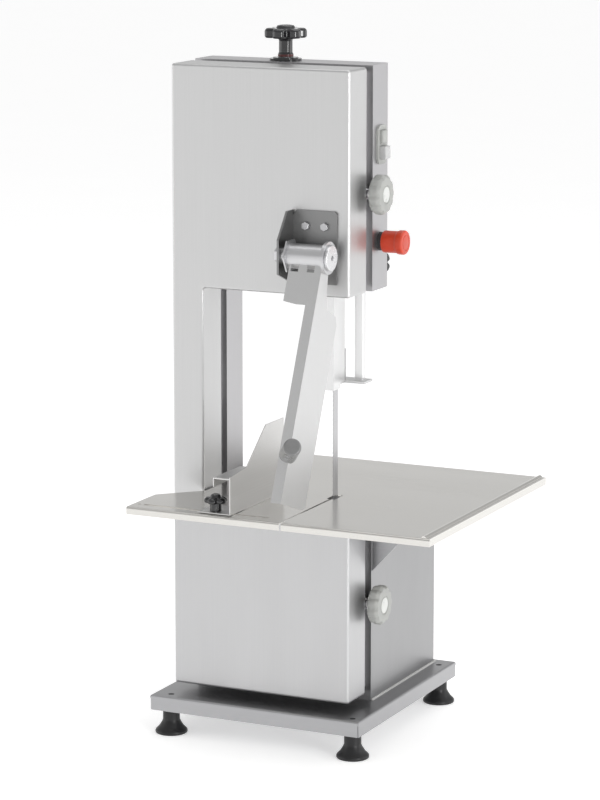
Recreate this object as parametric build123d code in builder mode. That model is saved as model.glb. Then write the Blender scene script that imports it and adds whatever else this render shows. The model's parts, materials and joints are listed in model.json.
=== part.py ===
from build123d import *
import math
import os

# Table-top bone band saw. Millimetres, +Z up, feet on Z = 0, the operator stands at -Y.
# X runs from the column (left) to the controls (right). Depths called d are measured
# backwards (+Y) from the front face of the two doors.
os.makedirs("parts", exist_ok=True)

# ---------------------------------------------------------------- driving dimensions
FACE_Y = -65.85                     # front face of the doors in the row frame
LEFT, RIGHT = -205.5, 54.5          # outside of the doors and the case
COLUMN_RIGHT = -159.6               # throat side of the column
TRAY_TOP = 53.0
CASE_FOOT = 65.0                    # underside of the lower door
SILL_LOW, SILL_HIGH = 322.0, 328.0  # between the lower and the upper door
TABLE_TOP = 337.0
HEAD_LOW, HEAD_HIGH = 612.0, 910.0
DOOR_DEPTH = 53.0
GAP_DEPTH = 17.0                    # recess between doors and rear case
CASE_FRONT = DOOR_DEPTH + GAP_DEPTH
HEAD_BACK = 120.5
CABINET_BACK = 288.0
SHEET = 2.0
BEND = 4.0

WHEEL_R = 99.7
LOOP_R = 100.0                      # inside radius of the blade loop
BLADE_T = 0.6
BLADE_X = 17.7                      # middle of the cutting run
BLADE_D = (29.0, 45.0)              # tooth edge and back edge
WHEEL_X = BLADE_X - LOOP_R - BLADE_T / 2
LOWER_Z = 186.0
CENTRES = 605.0                     # wheel centre distance for an 1840 mm blade
UPPER_Z = LOWER_Z + CENTRES
WHEEL_D = (27.0, 47.0)

HINGE_X, HINGE_D = -212.0, 60.0     # door hinge axis
PIVOT_D, PIVOT_Z = -32.0, 669.0     # pusher arm pivot, an axis along X
ARM_LEAN = 23.2                     # degrees that the arm hangs towards the operator
ARM_X = 37.0                        # outside of the arm's side plate
BAR_X = (28.0, 40.0)                # guide bar section
BAR_D = (76.0, 86.0)
KNOB_D = 61.5                       # door knobs sit over the recess
UPPER_KNOB_Z, LOWER_KNOB_Z = 743.0, 190.0
STAR_D = 95.0                       # tension screw axis, over the wheel centre
SIDE_X = 56.0                       # right outside face of the rear case
ESTOP_D, ESTOP_Z = 95.0, 676.0
SWITCH_D, SWITCH_Z = 95.0, 805.0
SLOT_D = -112.0                     # fence clamping slot in the table
FENCE_X = -57.0                     # cutting face of the fence


# ---------------------------------------------------------------- helpers
def at(x, d, z):
    return (x, FACE_Y + d, z)


def block(x, d, z, mode=Mode.ADD):
    """Box between two values on each axis."""
    centre = at((x[0] + x[1]) / 2, (d[0] + d[1]) / 2, (z[0] + z[1]) / 2)
    with Locations(centre):
        Box(x[1] - x[0], d[1] - d[0], z[1] - z[0], mode=mode)


def rod(start, end, radius, mode=Mode.ADD):
    """Cylinder between two points given as (x, d, z)."""
    a = Vector(*at(*start))
    b = Vector(*at(*end))
    with BuildSketch(Plane(origin=a, z_dir=b - a)) as disc:
        Circle(radius)
    extrude(disc.sketch, amount=(b - a).length, mode=mode)


def ring(start, end, outer, inner):
    rod(start, end, outer)
    rod(start, end, inner, Mode.SUBTRACT)


def hex_head(start, end, across):
    """Hexagon prism between two points given as (x, d, z)."""
    a = Vector(*at(*start))
    b = Vector(*at(*end))
    with BuildSketch(Plane(origin=a, z_dir=b - a)) as hexagon:
        RegularPolygon(across / math.sqrt(3), 6)
    extrude(hexagon.sketch, amount=(b - a).length)


def front_panel(points, d0, d1, mode=Mode.ADD):
    """Extrude an X-Z outline backwards from depth d0 to depth d1."""
    with BuildSketch(Plane(origin=at(0, d0, 0), x_dir=(1, 0, 0), z_dir=(0, -1, 0))) as outline:
        Polygon(*points, align=None)
    extrude(outline.sketch, amount=-(d1 - d0), mode=mode)


def save(piece, name):
    piece.label = name
    export_step(piece, f"parts/{name}.step")


def head_outline(inset, foot):
    """Inverted L of the head and the column, pulled in by inset, down to foot."""
    i = inset
    return [(LEFT + i, foot), (COLUMN_RIGHT - i, foot), (COLUMN_RIGHT - i, HEAD_LOW + i),
            (RIGHT - i, HEAD_LOW + i), (RIGHT - i, HEAD_HIGH - i), (LEFT + i, HEAD_HIGH - i)]


def frame_outline(inset):
    """C shape of the whole machine, pulled in by inset."""
    i = inset
    return [(LEFT + i, CASE_FOOT + i), (RIGHT - i, CASE_FOOT + i), (RIGHT - i, SILL_LOW - i),
            (COLUMN_RIGHT - i, SILL_LOW - i), (COLUMN_RIGHT - i, HEAD_LOW + i),
            (RIGHT - i, HEAD_LOW + i), (RIGHT - i, HEAD_HIGH - i), (LEFT + i, HEAD_HIGH - i)]


# ---------------------------------------------------------------- base
TRAY_X, TRAY_D = (-227.0, 83.6), (-31.0, 300.8)
TRAY_LOW = 32.0
FEET = [(x, d) for x in (-202.0, 69.0) for d in (-17.0, 274.0)]
STEM_TOP = 50.6

with BuildPart() as base_tray:
    block(TRAY_X, TRAY_D, (TRAY_LOW, TRAY_TOP))
    fillet(base_tray.edges().group_by(Axis.Z)[-1], 3.0)
    block((TRAY_X[0] + SHEET, TRAY_X[1] - SHEET), (TRAY_D[0] + SHEET, TRAY_D[1] - SHEET),
          (TRAY_LOW - 1, TRAY_TOP - SHEET), Mode.SUBTRACT)
    for x in (TRAY_X[0], TRAY_X[1]):
        for d in (TRAY_D[0], TRAY_D[1]):
            block((x - 1.6, x + 1.6), (d - 1.6, d + 1.6), (TRAY_LOW - 1, TRAY_TOP - 5), Mode.SUBTRACT)
    for x, d in FEET:
        rod((x, d, TRAY_TOP - 5), (x, d, TRAY_TOP + 1), 4.2, Mode.SUBTRACT)
save(base_tray.part, "base_tray")

with BuildPart() as rubber_feet:
    for x, d in FEET:
        with BuildSketch(Plane(origin=at(x, d, 0), x_dir=(1, 0, 0), z_dir=(0, -1, 0))):
            with BuildLine():
                Polyline((0, 0), (20.5, 0), (22.0, 1.5), (22.0, 4.0))
                Line((22.0, 4.0), (13.0, 15.5))
                Polyline((13.0, 15.5), (11.5, 17.5), (11.5, STEM_TOP), (0, STEM_TOP))
                Line((0, STEM_TOP), (0, 0))
            make_face()
        revolve(axis=Axis(at(x, d, 0), (0, 0, 1)))
        # moulded-in stud that reaches through the tray
        rod((x, d, STEM_TOP), (x, d, TRAY_TOP - 0.2), 3.95)
save(rubber_feet.part, "rubber_feet")

# ---------------------------------------------------------------- frame and rear case
RIM = 7.0                           # how far the frame's rim sits inside the doors' outline
PLATE_D = (62.0, 66.0)

with BuildPart() as main_frame:
    front_panel(frame_outline(RIM), 56.0, CASE_FRONT)
    front_panel(frame_outline(RIM + 3.0), 55.0, PLATE_D[0], Mode.SUBTRACT)
    front_panel(frame_outline(RIM + 3.0), PLATE_D[1], CASE_FRONT + 1, Mode.SUBTRACT)
    # slot for the sliding axle, hole for the motor shaft, way through for guide and guard
    block((WHEEL_X - 16, WHEEL_X + 16), (50, 80), (UPPER_Z - 30, UPPER_Z + 24), Mode.SUBTRACT)
    rod((WHEEL_X, 50, LOWER_Z), (WHEEL_X, 80, LOWER_Z), 22.0, Mode.SUBTRACT)
    block((2, 47), (50, 80), (HEAD_LOW, HEAD_LOW + 22), Mode.SUBTRACT)
    block((BLADE_X - 10, BLADE_X + 10), (50, 61.9), (SILL_LOW - 30, SILL_LOW), Mode.SUBTRACT)
    for dx in (-32.0, 32.0):
        for dz in (-32.0, 32.0):
            rod((WHEEL_X + dx, 50, LOWER_Z + dz), (WHEEL_X + dx, 80, LOWER_Z + dz), 3.3, Mode.SUBTRACT)
save(main_frame.part, "main_frame")

with BuildPart() as door_gasket:
    front_panel(frame_outline(RIM - 2.0), 53.4, 56.0)
    front_panel(frame_outline(RIM + 5.0), 53.0, 57.0, Mode.SUBTRACT)
    block((2, 47), (50, 80), (HEAD_LOW, HEAD_LOW + 22), Mode.SUBTRACT)
    block((BLADE_X - 10, BLADE_X + 10), (50, 61.9), (SILL_LOW - 30, SILL_LOW), Mode.SUBTRACT)
save(door_gasket.part, "door_gasket")

with BuildPart() as head_case:
    case_points = [(LEFT, SILL_LOW), (COLUMN_RIGHT, SILL_LOW), (COLUMN_RIGHT, HEAD_LOW),
                   (SIDE_X, HEAD_LOW), (SIDE_X, HEAD_HIGH + 1), (LEFT, HEAD_HIGH + 1)]
    front_panel(case_points, CASE_FRONT, HEAD_BACK)
    vertical = head_case.edges().filter_by(Axis.Z).group_by(Axis.Y)[-1]
    fillet(vertical.filter_by(lambda e: e.length > 100), 3.0)
    s = SHEET
    hollow = [(LEFT + s, SILL_LOW), (COLUMN_RIGHT - s, SILL_LOW), (COLUMN_RIGHT - s, HEAD_LOW + s),
              (SIDE_X - s, HEAD_LOW + s), (SIDE_X - s, HEAD_HIGH + 1 - s), (LEFT + s, HEAD_HIGH + 1 - s)]
    front_panel(hollow, CASE_FRONT - 1, HEAD_BACK - s, Mode.SUBTRACT)
    # inward flange that the frame's rim is welded to
    front_panel(hollow, CASE_FRONT, CASE_FRONT + s)
    front_panel(head_outline(RIM + 3.0, SILL_LOW - 1), CASE_FRONT - 1, CASE_FRONT + s + 0.1, Mode.SUBTRACT)
    # holes: tension screw, guide bar, clamp knob, switch, emergency stop
    rod((WHEEL_X, STAR_D, 880), (WHEEL_X, STAR_D, 920), 8.0, Mode.SUBTRACT)
    block((BAR_X[0] - 1, BAR_X[1] + 1), (BAR_D[0] - 1, BAR_D[1] + 1), (600, 620), Mode.SUBTRACT)
    rod((34, 110, 642), (34, 125, 642), 5.2, Mode.SUBTRACT)
    block((50, 60), (SWITCH_D - 10, SWITCH_D + 10), (SWITCH_Z - 20, SWITCH_Z + 20), Mode.SUBTRACT)
    rod((50, ESTOP_D, ESTOP_Z), (60, ESTOP_D, ESTOP_Z), 11.2, Mode.SUBTRACT)
save(head_case.part, "head_case")

with BuildPart() as motor_cabinet:
    block((LEFT, SIDE_X), (CASE_FRONT, CABINET_BACK), (TRAY_TOP, SILL_LOW))
    fillet(motor_cabinet.edges().filter_by(Axis.Z).group_by(Axis.Y)[-1], 3.0)
    block((LEFT + s, SIDE_X - s), (CASE_FRONT - 1, CABINET_BACK + 1), (TRAY_TOP + s, SILL_LOW - s), Mode.SUBTRACT)
    block((LEFT + 4, COLUMN_RIGHT - 4), (CASE_FRONT + 4, HEAD_BACK - 4), (300, 330), Mode.SUBTRACT)
    # inward flange that the frame's rim is welded to
    block((LEFT + s, SIDE_X - s), (CASE_FRONT, CASE_FRONT + s), (TRAY_TOP + s, SILL_LOW - s))
    block((LEFT + RIM + 3, RIGHT - RIM - 3), (CASE_FRONT - 1, CASE_FRONT + s + 0.1),
          (CASE_FOOT + RIM + 3, SILL_LOW - RIM - 3), Mode.SUBTRACT)
    # lip that the rear cover is screwed to
    block((LEFT + s, SIDE_X - s), (CABINET_BACK - s - 2, CABINET_BACK - s), (TRAY_TOP + s, SILL_LOW - s))
    block((LEFT + 16, SIDE_X - 16), (CABINET_BACK - 9, CABINET_BACK), (TRAY_TOP + 16, SILL_LOW - 16), Mode.SUBTRACT)
save(motor_cabinet.part, "motor_cabinet")

COVER_D = (CABINET_BACK - SHEET + 0.0, CABINET_BACK - 0.5)
with BuildPart() as rear_cover:
    block((LEFT + 3, SIDE_X - 3), COVER_D, (TRAY_TOP + 3, SILL_LOW - 3))
    for row in range(6):
        z = 120.0 + row * 14.0
        block((WHEEL_X - 45, WHEEL_X + 45), (CABINET_BACK - 5, CABINET_BACK + 5), (z, z + 5), Mode.SUBTRACT)
    rod((LEFT + 45, 280, 90), (LEFT + 45, 295, 90), 8.1, Mode.SUBTRACT)
save(rear_cover.part, "rear_cover")

with BuildPart() as cable_gland:
    hex_head((LEFT + 45, COVER_D[1], 90), (LEFT + 45, COVER_D[1] + 4, 90), 20.0)
    rod((LEFT + 45, 275, 90), (LEFT + 45, COVER_D[1] + 4, 90), 8.0)
    rod((LEFT + 45, COVER_D[1] + 4, 90), (LEFT + 45, COVER_D[1] + 11, 90), 9.0)
    rod((LEFT + 45, 270, 90), (LEFT + 45, 305, 90), 4.5, Mode.SUBTRACT)
save(cable_gland.part, "cable_gland")

SEAM = 0.3                          # gap between the sill and each door
with BuildPart() as column_sill:
    block((LEFT, COLUMN_RIGHT), (0, DOOR_DEPTH + 3.0), (SILL_LOW + SEAM, SILL_HIGH - SEAM))
    block((LEFT + s, COLUMN_RIGHT - s), (s, DOOR_DEPTH + 4.0), (SILL_LOW - 1, SILL_HIGH + 1), Mode.SUBTRACT)
    # tabs that bolt the sill to the frame's rim
    for x in (LEFT + s, COLUMN_RIGHT - s - 2.6):
        block((x, x + 2.6), (DOOR_DEPTH, DOOR_DEPTH + 3), (SILL_LOW + SEAM, SILL_HIGH - SEAM))
save(column_sill.part, "column_sill")

# ---------------------------------------------------------------- doors
with BuildPart() as upper_door:
    front_panel(head_outline(0, SILL_HIGH), 0, DOOR_DEPTH)
    bends = upper_door.edges().filter_by(Axis.Y).filter_by(lambda e: e.center().Z > SILL_HIGH + 1)
    fillet(bends, BEND)
    front = upper_door.edges().group_by(Axis.Y)[0].filter_by(lambda e: e.center().Z > SILL_HIGH + 1)
    fillet(front, BEND - 0.5)
    front_panel(head_outline(SHEET, SILL_HIGH - 1), SHEET, DOOR_DEPTH + 1, Mode.SUBTRACT)
    block((3, 46), (18, DOOR_DEPTH + 1), (HEAD_LOW - 1, HEAD_LOW + SHEET + 1), Mode.SUBTRACT)
save(upper_door.part, "upper_door")

with BuildPart() as lower_door:
    block((LEFT, RIGHT), (0, DOOR_DEPTH), (CASE_FOOT, SILL_LOW))
    fillet(lower_door.edges().filter_by(Axis.Y), BEND)
    fillet(lower_door.edges().group_by(Axis.Y)[0], BEND - 0.5)
    block((LEFT + s, RIGHT - s), (s, DOOR_DEPTH + 1), (CASE_FOOT + s, SILL_LOW - s), Mode.SUBTRACT)
    block((3, 33), (18, DOOR_DEPTH + 1), (SILL_LOW - s - 1, SILL_LOW + 1), Mode.SUBTRACT)
    block((LEFT + s, COLUMN_RIGHT), (18, DOOR_DEPTH + 1), (SILL_LOW - s - 1, SILL_LOW + 1), Mode.SUBTRACT)
save(lower_door.part, "lower_door")

HINGE_R = 5.5
UPPER_HINGES, LOWER_HINGES = (420.0, 840.0), (110.0, 270.0)
KNUCKLE = 18.0                      # height of one knuckle


def door_leaf(z):
    """Leaf on the door's left wall with the middle knuckle."""
    block((LEFT - 2.2, LEFT), (14, 51), (z - 27, z + 27))
    block((LEFT - 6.5, LEFT - 0.2), (51, 58), (z - KNUCKLE / 2 + 0.3, z + KNUCKLE / 2 - 0.3))
    block((LEFT - 6.5, LEFT - 0.2), (46, 52), (z - KNUCKLE / 2 + 0.3, z + KNUCKLE / 2 - 0.3))
    rod((HINGE_X, HINGE_D, z - KNUCKLE / 2 + 0.3), (HINGE_X, HINGE_D, z + KNUCKLE / 2 - 0.3), HINGE_R)
    rod((HINGE_X, HINGE_D, z - 30), (HINGE_X, HINGE_D, z + 30), 3.05, Mode.SUBTRACT)


with BuildPart() as case_hinge_leaves:
    for z in UPPER_HINGES + LOWER_HINGES:
        block((LEFT - 2.2, LEFT), (72, 108), (z - 27, z + 27))
        for side in (-1, 1):
            low = z + side * KNUCKLE - KNUCKLE / 2
            block((LEFT - 6.5, LEFT - 0.4), (61, 74), (low, low + KNUCKLE))
            rod((HINGE_X, HINGE_D, low), (HINGE_X, HINGE_D, low + KNUCKLE), HINGE_R)
        rod((HINGE_X, HINGE_D, z - 30), (HINGE_X, HINGE_D, z + 30), 3.0, Mode.SUBTRACT)
save(case_hinge_leaves.part, "case_hinge_leaves")

with BuildPart() as hinge_pins:
    for z in UPPER_HINGES + LOWER_HINGES:
        rod((HINGE_X, HINGE_D, z - 27), (HINGE_X, HINGE_D, z + 27), 3.0)
        rod((HINGE_X, HINGE_D, z + 27), (HINGE_X, HINGE_D, z + 29), 4.5)
save(hinge_pins.part, "hinge_pins")

with BuildPart() as upper_door_leaves:
    for z in UPPER_HINGES:
        door_leaf(z)
save(upper_door_leaves.part, "upper_door_leaves")

with BuildPart() as lower_door_leaves:
    for z in LOWER_HINGES:
        door_leaf(z)
save(lower_door_leaves.part, "lower_door_leaves")


# ---------------------------------------------------------------- door knobs
def lobed_knob(z):
    """Fluted clamping knob on a short hub, its axis along +X."""
    plane = Plane(origin=at(64.5, KNOB_D, z), x_dir=(0, 1, 0), z_dir=(1, 0, 0))
    with BuildSketch(plane) as flutes:
        Circle(27.0)
        with PolarLocations(30.0, 11):
            Circle(5.0, mode=Mode.SUBTRACT)
    extrude(flutes.sketch, amount=15.5)
    rod((60.0, KNOB_D, z), (64.5, KNOB_D, z), 9.0)
    # shallow ring round the raised centre of the face
    rod((79.2, KNOB_D, z), (81.0, KNOB_D, z), 12.0, Mode.SUBTRACT)
    rod((79.0, KNOB_D, z), (80.0, KNOB_D, z), 10.6)
    rod((58, KNOB_D, z), (76.0, KNOB_D, z), 4.05, Mode.SUBTRACT)


with BuildPart() as upper_door_knob:
    lobed_knob(UPPER_KNOB_Z)
save(upper_door_knob.part, "upper_door_knob")

with BuildPart() as lower_door_knob:
    lobed_knob(LOWER_KNOB_Z)
save(lower_door_knob.part, "lower_door_knob")

with BuildPart() as door_knob_studs:
    for z in (UPPER_KNOB_Z, LOWER_KNOB_Z):
        block((RIGHT - 7, RIGHT - 4), (57.5, 65.5), (z - 12, z + 12))
        rod((RIGHT - 7, KNOB_D, z), (75.8, KNOB_D, z), 4.0)
        rod((RIGHT - 4, KNOB_D, z), (RIGHT + 2.6, KNOB_D, z), 7.5)
save(door_knob_studs.part, "door_knob_studs")


# ---------------------------------------------------------------- wheels, blade and drive
def saw_wheel(z, bore):
    """Cast wheel with a crowned rim, a web with five holes and a hub."""
    front, back = WHEEL_D
    rod((WHEEL_X, front, z), (WHEEL_X, back, z), WHEEL_R)
    rod((WHEEL_X, front - 1, z), (WHEEL_X, front + 6, z), 90.0, Mode.SUBTRACT)
    rod((WHEEL_X, back - 6, z), (WHEEL_X, back + 1, z), 90.0, Mode.SUBTRACT)
    rod((WHEEL_X, front - 3, z), (WHEEL_X, back + 3, z), 27.0)
    for i in range(5):
        a = math.radians(90 + 72 * i)
        x, h = WHEEL_X + 58 * math.cos(a), z + 58 * math.sin(a)
        rod((x, front, h), (x, back, h), 17.0, Mode.SUBTRACT)
    rod((WHEEL_X, front - 9, z), (WHEEL_X, back + 9, z), bore, Mode.SUBTRACT)


with BuildPart() as upper_wheel:
    saw_wheel(UPPER_Z, 21.0)
save(upper_wheel.part, "upper_wheel")

with BuildPart() as lower_wheel:
    saw_wheel(LOWER_Z, 9.5)
save(lower_wheel.part, "lower_wheel")

with BuildPart() as wheel_bearings:
    ring((WHEEL_X, 25, UPPER_Z), (WHEEL_X, 36, UPPER_Z), 21.0, 10.05)
    ring((WHEEL_X, 38, UPPER_Z), (WHEEL_X, 49, UPPER_Z), 21.0, 10.05)
save(wheel_bearings.part, "upper_wheel_bearings")

with BuildPart() as saw_blade:
    with BuildSketch(Plane(origin=at(WHEEL_X, BLADE_D[0], (UPPER_Z + LOWER_Z) / 2),
                           x_dir=(0, 0, 1), z_dir=(0, 1, 0))):
        SlotCenterToCenter(CENTRES, 2 * (LOOP_R + BLADE_T))
        SlotCenterToCenter(CENTRES, 2 * LOOP_R, mode=Mode.SUBTRACT)
    extrude(amount=BLADE_D[1] - BLADE_D[0])
save(saw_blade.part, "saw_blade")

with BuildPart() as wheel_axle:
    rod((WHEEL_X, 20, UPPER_Z), (WHEEL_X, 72, UPPER_Z), 10.0)
    rod((WHEEL_X, 50.2, UPPER_Z), (WHEEL_X, 72, UPPER_Z), 13.5)
    rod((WHEEL_X, 16, UPPER_Z), (WHEEL_X, 24.6, UPPER_Z), 5.0)
    hex_head((WHEEL_X, 18, UPPER_Z), (WHEEL_X, 23, UPPER_Z), 17.0)
save(wheel_axle.part, "upper_wheel_axle")

CARRIAGE_Z = (UPPER_Z - 34, UPPER_Z + 34)
with BuildPart() as tension_carriage:
    block((WHEEL_X - 30, WHEEL_X + 30), (72, 110), CARRIAGE_Z)
    fillet(tension_carriage.edges().filter_by(Axis.Y), 3.0)
    rod((WHEEL_X, STAR_D, UPPER_Z - 20), (WHEEL_X, STAR_D, UPPER_Z + 40), 6.05, Mode.SUBTRACT)
    for side in (-1, 1):
        rod((WHEEL_X + side * 21, 91, CARRIAGE_Z[0] - 1), (WHEEL_X + side * 21, 91, CARRIAGE_Z[1] + 1),
            6.06, Mode.SUBTRACT)
save(tension_carriage.part, "tension_carriage")

with BuildPart() as carriage_rails:
    for side in (-1, 1):
        rod((WHEEL_X + side * 21, 91, UPPER_Z - 48), (WHEEL_X + side * 21, 91, UPPER_Z + 48), 6.0)
    for z in (UPPER_Z - 56, UPPER_Z + 48):
        block((WHEEL_X - 32, WHEEL_X + 32), (66, 102), (z, z + 8))
        rod((WHEEL_X, STAR_D, z - 1), (WHEEL_X, STAR_D, z + 9), 8.5, Mode.SUBTRACT)
save(carriage_rails.part, "carriage_rails")

with BuildPart() as tension_screw:
    rod((WHEEL_X, STAR_D, UPPER_Z - 14), (WHEEL_X, STAR_D, 950), 6.0)
    rod((WHEEL_X, STAR_D, 885), (WHEEL_X, STAR_D, 890), 10.0)
save(tension_screw.part, "tension_screw")

with BuildPart() as spring_washers:
    for i in range(5):
        z = 890.5 + i * 3.4
        ring((WHEEL_X, STAR_D, z), (WHEEL_X, STAR_D, z + 3.4), 14.0 - 3.0 * (i % 2), 6.3)
save(spring_washers.part, "spring_washers")

with BuildPart() as tension_collar:
    ring((WHEEL_X, STAR_D, HEAD_HIGH + 1), (WHEEL_X, STAR_D, HEAD_HIGH + 4), 21.5, 6.3)
    rod((WHEEL_X, STAR_D, HEAD_HIGH + 4), (WHEEL_X, STAR_D, HEAD_HIGH + 5.5), 17.0)
    rod((WHEEL_X, STAR_D, HEAD_HIGH), (WHEEL_X, STAR_D, HEAD_HIGH + 8), 6.3, Mode.SUBTRACT)
save(tension_collar.part, "tension_collar")

with BuildPart() as star_knob:
    with BuildSketch(Plane(origin=at(WHEEL_X, STAR_D, 941))):
        Circle(28.5)
        with PolarLocations(31.5, 6, 30):
            Circle(10.0, mode=Mode.SUBTRACT)
    extrude(amount=17.0)
    fillet(star_knob.edges().group_by(Axis.Z)[-1], 2.5)
    rod((WHEEL_X, STAR_D, HEAD_HIGH + 5.8), (WHEEL_X, STAR_D, 941), 10.5)
    rod((WHEEL_X, STAR_D, 900), (WHEEL_X, STAR_D, 950), 6.0, Mode.SUBTRACT)
save(star_knob.part, "star_knob")

MOTOR_D = (CASE_FRONT, 244.0)
with BuildPart() as motor_housing:
    rod((WHEEL_X, MOTOR_D[0] + 8, LOWER_Z), (WHEEL_X, MOTOR_D[1], LOWER_Z), 58.0)
    for i in range(16):
        a = math.radians(22.5 * i)
        x, h = WHEEL_X + 60 * math.cos(a), LOWER_Z + 60 * math.sin(a)
        rod((x, MOTOR_D[0] + 20, h), (x, MOTOR_D[1] - 20, h), 3.5)
    block((WHEEL_X - 50, WHEEL_X + 50), (66, 78.5), (LOWER_Z - 50, LOWER_Z + 50))
    rod((WHEEL_X, 90, LOWER_Z), (WHEEL_X, 225, LOWER_Z), 36.5, Mode.SUBTRACT)
    rod((WHEEL_X, 60, LOWER_Z), (WHEEL_X, 235, LOWER_Z), 17.5, Mode.SUBTRACT)
save(motor_housing.part, "motor_housing")

with BuildPart() as motor_bearings:
    ring((WHEEL_X, 68, LOWER_Z), (WHEEL_X, 80, LOWER_Z), 17.5, 9.55)
    ring((WHEEL_X, 225, LOWER_Z), (WHEEL_X, 234, LOWER_Z), 17.5, 9.55)
save(motor_bearings.part, "motor_bearings")

with BuildPart() as motor_rotor:
    rod((WHEEL_X, 22, LOWER_Z), (WHEEL_X, 234, LOWER_Z), 9.5)
    rod((WHEEL_X, 98, LOWER_Z), (WHEEL_X, 215, LOWER_Z), 35.5)
save(motor_rotor.part, "motor_rotor")

with BuildPart() as wheel_clamp_nut:
    ring((WHEEL_X, 20.5, LOWER_Z), (WHEEL_X, 24, LOWER_Z), 17.0, 9.5)
    hex_head((WHEEL_X, 15, LOWER_Z), (WHEEL_X, 20.5, LOWER_Z), 27.0)
    rod((WHEEL_X, 14, LOWER_Z), (WHEEL_X, 22, LOWER_Z), 7.5, Mode.SUBTRACT)
save(wheel_clamp_nut.part, "lower_wheel_nut")

# ---------------------------------------------------------------- table
TABLE_X, TABLE_D = (-206.0, 227.0), (-133.0, 272.0)
TABLE_LOW = 327.0
with BuildPart() as work_table:
    with BuildSketch(Plane.XY.offset(TABLE_TOP - SHEET)):
        outline = [(TABLE_X[0], TABLE_D[0]), (TABLE_X[1], TABLE_D[0]), (TABLE_X[1], TABLE_D[1]),
                   (-124, TABLE_D[1]), (-124, 125), (-156, 125), (-156, -2), (-201, -46), (TABLE_X[0], -52)]
        Polygon(*[(x, FACE_Y + d) for x, d in outline], align=None)
    extrude(amount=SHEET)
    # front, rear, left and right folds, with the raised bead along the right side
    block(TABLE_X, (TABLE_D[0], TABLE_D[0] + SHEET), (TABLE_LOW, TABLE_TOP - SHEET))
    block((-124, TABLE_X[1]), (TABLE_D[1] - SHEET, TABLE_D[1]), (TABLE_LOW, TABLE_TOP - SHEET))
    block((TABLE_X[1] - SHEET, TABLE_X[1]), TABLE_D, (TABLE_LOW, TABLE_TOP - SHEET))
    block((TABLE_X[0], TABLE_X[0] + SHEET), (TABLE_D[0], -52), (TABLE_LOW, TABLE_TOP - SHEET))
    for e in (work_table.edges().filter_by(Axis.X).group_by(Axis.Z)[-1].sort_by(Axis.Y)[0],):
        fillet(e, 3.0)
    rod((TABLE_X[1] - 9, TABLE_D[0] + 3, TABLE_TOP - 1.5), (TABLE_X[1] - 9, TABLE_D[1], TABLE_TOP - 1.5), 4.0)
    block((TABLE_X[1] - 20, TABLE_X[1] - 2), (TABLE_D[0] + 2.0, TABLE_D[1] - 2.0),
          (TABLE_LOW, TABLE_TOP - SHEET), Mode.SUBTRACT)
    # blade slit from the front edge, fence slot and locating hole
    block((BLADE_X - 1.5, BLADE_X + 1.5), (TABLE_D[0] - 1, BLADE_D[1] + 5), (320, 340), Mode.SUBTRACT)
    block((BLADE_X - 6, BLADE_X + 6), (BLADE_D[0] - 6, BLADE_D[1] + 6), (320, 340), Mode.SUBTRACT)
    block((-190, -8), (SLOT_D - 3.2, SLOT_D + 3.2), (330, 340), Mode.SUBTRACT)
    rod((-197, SLOT_D, 330), (-197, SLOT_D, 340), 2.2, Mode.SUBTRACT)
save(work_table.part, "work_table")

with BuildPart() as table_supports:
    # two channels that carry the table on top of the cabinet
    for d in (84.0, 236.0):
        block((-120, 200), (d, d + 24), (SILL_LOW, TABLE_TOP - SHEET))
        block((-121, 201), (d + 2, d + 22), (SILL_LOW - 1, TABLE_TOP - SHEET - 2), Mode.SUBTRACT)
    # triangular brackets under the overhanging side
    for d in (72.0, 246.0):
        front_panel([(SIDE_X, 232), (SIDE_X, SILL_LOW), (132, SILL_LOW), (132, SILL_LOW - 8)], d, d + 3)
        block((SIDE_X, SIDE_X + 3), (d, d + 22), (240, SILL_LOW - 4))
        block((SIDE_X, 132), (d, d + 22), (SILL_LOW - 3, SILL_LOW))
save(table_supports.part, "table_supports")

COVER_SCREWS = [(x, z) for x in (LEFT + 9.5, SIDE_X - 9.5) for z in (TRAY_TOP + 9.5, 187.5, SILL_LOW - 9.5)]
with BuildPart() as case_fasteners:
    # domed screws of the rear cover
    for x, z in COVER_SCREWS:
        rod((x, COVER_D[1], z), (x, COVER_D[1] + 2.4, z), 4.5)
    fillet(case_fasteners.edges().group_by(Axis.Y)[-1], 1.2)
    # motor bolts behind the lower wheel
    for dx in (-32.0, 32.0):
        for dz in (-32.0, 32.0):
            hex_head((WHEEL_X + dx, 58, LOWER_Z + dz), (WHEEL_X + dx, 62, LOWER_Z + dz), 10.0)
            rod((WHEEL_X + dx, 58, LOWER_Z + dz), (WHEEL_X + dx, 66, LOWER_Z + dz), 3.0)
    # bolts of the table's side brackets
    for d in (86.0, 260.0):
        for z in (252.0, 300.0):
            hex_head((SIDE_X + 3, d, z), (SIDE_X + 8, d, z), 10.0)
save(case_fasteners.part, "case_fasteners")

# ---------------------------------------------------------------- fence
with BuildPart() as fence_plate:
    with BuildSketch(Plane(origin=at(FENCE_X - 1.5, 0, 0), x_dir=(0, 1, 0), z_dir=(1, 0, 0))):
        Polygon((-125, 337.6), (-125, 388), (-76, 393), (-19, 439), (35, 439), (35, 337.6), align=None)
    extrude(amount=1.5)
    block((-105, FENCE_X), (-125, -80), (337.6, 339.1))
    rod((-84, SLOT_D, 330), (-84, SLOT_D, 345), 3.3, Mode.SUBTRACT)
    # stiffening fold along the top left of the fence
    block((-82, FENCE_X - 1.0), (-125, -45), (384.5, 386.0))
    block((-82, -80.5), (-125, -45), (374, 386))
save(fence_plate.part, "fence_plate")

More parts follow.
